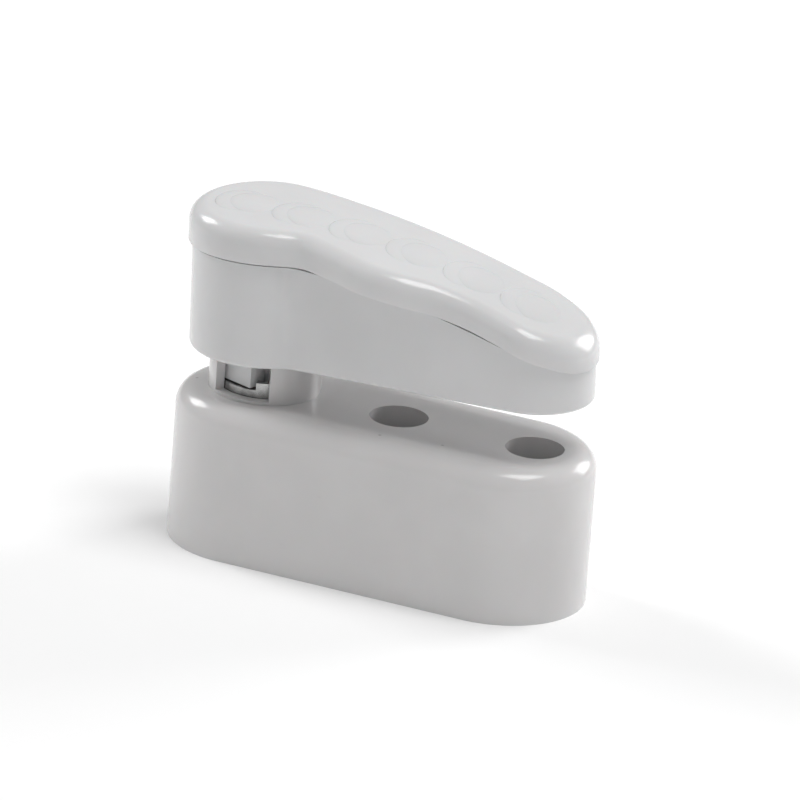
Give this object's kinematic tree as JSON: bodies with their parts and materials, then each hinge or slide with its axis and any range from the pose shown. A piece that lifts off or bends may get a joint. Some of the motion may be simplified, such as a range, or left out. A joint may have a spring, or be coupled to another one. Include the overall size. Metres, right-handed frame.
{
  "type": "stair gate latch",
  "caption": "Screw-on latch for a stair gate: a base block with two counterbored fixing holes and a spring-held turn lever on a vertical pivot.",
  "frame": {"origin": "where the pivot axis meets the mounting face", "axes": "+Z along the pivot away from the mounting face, +X along the base towards the lever's tip"},
  "size_m": [0.0676, 0.0266, 0.0536],
  "materials": {
    "base_plastic": "glossy",
    "lever_plastic": "glossy",
    "acetal": "satin",
    "zinc_casting": "cast and plated",
    "steel": "turned",
    "spring_steel": "drawn",
    "zinc_screws": "zinc plated"
  },
  "bodies": {
    "base": {"base_housing": "base_plastic", "screw_sleeves": "base_plastic", "base_plate": "base_plastic", "base_plate_screws": "zinc_screws", "pivot_collar": "base_plastic", "stop_ring": "zinc_casting", "stop_ring_pins": "steel", "spindle_bush": "acetal", "seat_washers": "zinc_screws"},
    "carriage": {"spring_washer": "zinc_screws", "return_spring": "spring_steel"},
    "lever": {"spindle": "steel", "retaining_clip": "spring_steel", "thrust_washer": "acetal", "lever_hub": "lever_plastic", "hub_screws": "zinc_screws", "spindle_washer": "zinc_screws", "spindle_nut": "zinc_screws", "lever_body": "lever_plastic", "lever_cap": "lever_plastic", "cap_screws": "zinc_screws"}
  },
  "joints": [
    {"name": "lever_lift", "type": "slide", "parent": "base", "child": "carriage", "axis": [0, 0, 1], "range_m": [0, 0.0024], "stiffness_N_per_m": 2500, "springref_m": -0.004, "deforming": ["return_spring"]},
    {"name": "lever_turn", "type": "hinge", "parent": "carriage", "child": "lever", "pos_m": [0, 0, 0], "axis": [0, 0, 1], "range_deg": [-180, 0]}
  ]
}
